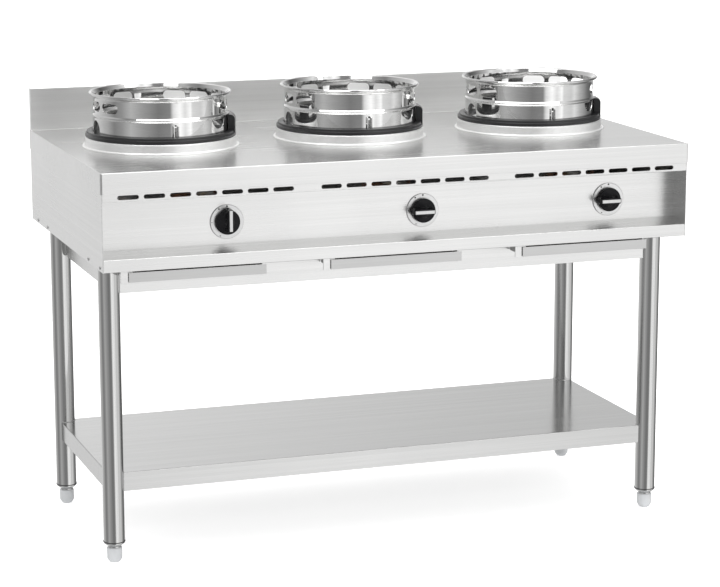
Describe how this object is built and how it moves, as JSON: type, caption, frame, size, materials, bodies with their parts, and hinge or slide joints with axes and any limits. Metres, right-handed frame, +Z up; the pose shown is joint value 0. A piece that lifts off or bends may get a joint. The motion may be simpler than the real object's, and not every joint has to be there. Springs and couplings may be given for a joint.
{
  "type": "wok range",
  "caption": "Freestanding gas wok range: worktop with backsplash and wok rings over cast burners, set-back knobs, drip trays, round legs with levelling feet and an undershelf.",
  "frame": {"origin": "on the floor, below the middle of the worktop's outline", "axes": "+X right along the front, +Y from the front to the back, +Z up"},
  "size_m": [1.3, 0.7, 0.9581],
  "materials": {
    "brushed_steel": "satin",
    "plain_steel": "satin",
    "polished_steel": "polished",
    "zinc_plated_steel": "satin",
    "cast_iron": "matte",
    "black_enamel": "satin",
    "rubber": "matte",
    "grey_plastic": "satin",
    "black_plastic": "gloss",
    "satin_silver": "satin",
    "brass": "satin",
    "copper": "satin"
  },
  "bodies": {
    "frame": {"back_panel": "plain_steel", "backsplash": "brushed_steel", "base_pan": "plain_steel", "burner_base_left": "brushed_steel", "burner_base_middle": "brushed_steel", "burner_base_right": "brushed_steel", "burner_caps": "cast_iron", "burner_left": "cast_iron", "burner_middle": "cast_iron", "burner_right": "cast_iron", "burner_stands": "plain_steel", "control_panel": "brushed_steel", "dial_plates": "satin_silver", "feed_pipes": "copper", "foot_collars": "polished_steel", "foot_seals": "rubber", "front_rail": "brushed_steel", "gas_manifold": "zinc_plated_steel", "gas_valves": "brass", "inlet_pipe": "zinc_plated_steel", "leg_back_left": "polished_steel", "leg_back_right": "polished_steel", "leg_front_left": "polished_steel", "leg_front_right": "polished_steel", "leg_plates": "plain_steel", "leg_rails": "brushed_steel", "pilot_burners": "brass", "ring_seat_left": "black_enamel", "ring_seat_middle": "black_enamel", "ring_seat_right": "black_enamel", "shelf_stiffener": "plain_steel", "side_panel_left": "brushed_steel", "side_panel_right": "brushed_steel", "side_screws": "plain_steel", "thermocouples": "copper", "tray_runners": "plain_steel", "undershelf": "brushed_steel", "vent_rail": "brushed_steel", "worktop": "brushed_steel"},
    "dial_left": {"spindle_left": "brass"},
    "knob_left": {"knob_left": "black_plastic", "grip_bar_left": "satin_silver"},
    "tray_left": {"drip_tray_left": "brushed_steel"},
    "ring_left": {"wok_ring_left": "polished_steel"},
    "dial_middle": {"spindle_middle": "brass"},
    "knob_middle": {"knob_middle": "black_plastic", "grip_bar_middle": "satin_silver"},
    "tray_middle": {"drip_tray_middle": "brushed_steel"},
    "ring_middle": {"wok_ring_middle": "polished_steel"},
    "dial_right": {"spindle_right": "brass"},
    "knob_right": {"knob_right": "black_plastic", "grip_bar_right": "satin_silver"},
    "tray_right": {"drip_tray_right": "brushed_steel"},
    "ring_right": {"wok_ring_right": "polished_steel"},
    "foot_front_left": {"foot_front_left": "grey_plastic"},
    "foot_front_right": {"foot_front_right": "grey_plastic"},
    "foot_back_left": {"foot_back_left": "grey_plastic"},
    "foot_back_right": {"foot_back_right": "grey_plastic"}
  },
  "joints": [
    {"name": "knob_push_left", "type": "slide", "parent": "frame", "child": "dial_left", "axis": [0, 1, 0], "range_m": [0, 0.004], "stiffness_N_per_m": 1500, "springref_m": -0.004},
    {"name": "knob_turn_left", "type": "hinge", "parent": "dial_left", "child": "knob_left", "pos_m": [-0.372, -0.32, 0.718], "axis": [0, -1, 0], "range_deg": [0, 155]},
    {"name": "tray_slide_left", "type": "slide", "parent": "frame", "child": "tray_left", "axis": [0, -1, 0], "range_m": [0, 0.4]},
    {"name": "ring_lift_left", "type": "slide", "parent": "frame", "child": "ring_left", "axis": [0, 0, 1], "range_m": [0, 0.15]},
    {"name": "knob_push_middle", "type": "slide", "parent": "frame", "child": "dial_middle", "axis": [0, 1, 0], "range_m": [0, 0.004], "stiffness_N_per_m": 1500, "springref_m": -0.004},
    {"name": "knob_turn_middle", "type": "hinge", "parent": "dial_middle", "child": "knob_middle", "pos_m": [0.058, -0.32, 0.718], "axis": [0, -1, 0], "range_deg": [-90, 65]},
    {"name": "tray_slide_middle", "type": "slide", "parent": "frame", "child": "tray_middle", "axis": [0, -1, 0], "range_m": [0, 0.4]},
    {"name": "ring_lift_middle", "type": "slide", "parent": "frame", "child": "ring_middle", "axis": [0, 0, 1], "range_m": [0, 0.15]},
    {"name": "knob_push_right", "type": "slide", "parent": "frame", "child": "dial_right", "axis": [0, 1, 0], "range_m": [0, 0.004], "stiffness_N_per_m": 1500, "springref_m": -0.004},
    {"name": "knob_turn_right", "type": "hinge", "parent": "dial_right", "child": "knob_right", "pos_m": [0.488, -0.32, 0.718], "axis": [0, -1, 0], "range_deg": [-90, 65]},
    {"name": "tray_slide_right", "type": "slide", "parent": "frame", "child": "tray_right", "axis": [0, -1, 0], "range_m": [0, 0.4]},
    {"name": "ring_lift_right", "type": "slide", "parent": "frame", "child": "ring_right", "axis": [0, 0, 1], "range_m": [0, 0.15]},
    {"name": "foot_level_front_left", "type": "slide", "parent": "frame", "child": "foot_front_left", "axis": [0, 0, -1], "range_m": [0, 0.025]},
    {"name": "foot_level_front_right", "type": "slide", "parent": "frame", "child": "foot_front_right", "axis": [0, 0, -1], "range_m": [0, 0.025]},
    {"name": "foot_level_back_left", "type": "slide", "parent": "frame", "child": "foot_back_left", "axis": [0, 0, -1], "range_m": [0, 0.025]},
    {"name": "foot_level_back_right", "type": "slide", "parent": "frame", "child": "foot_back_right", "axis": [0, 0, -1], "range_m": [0, 0.025]}
  ]
}
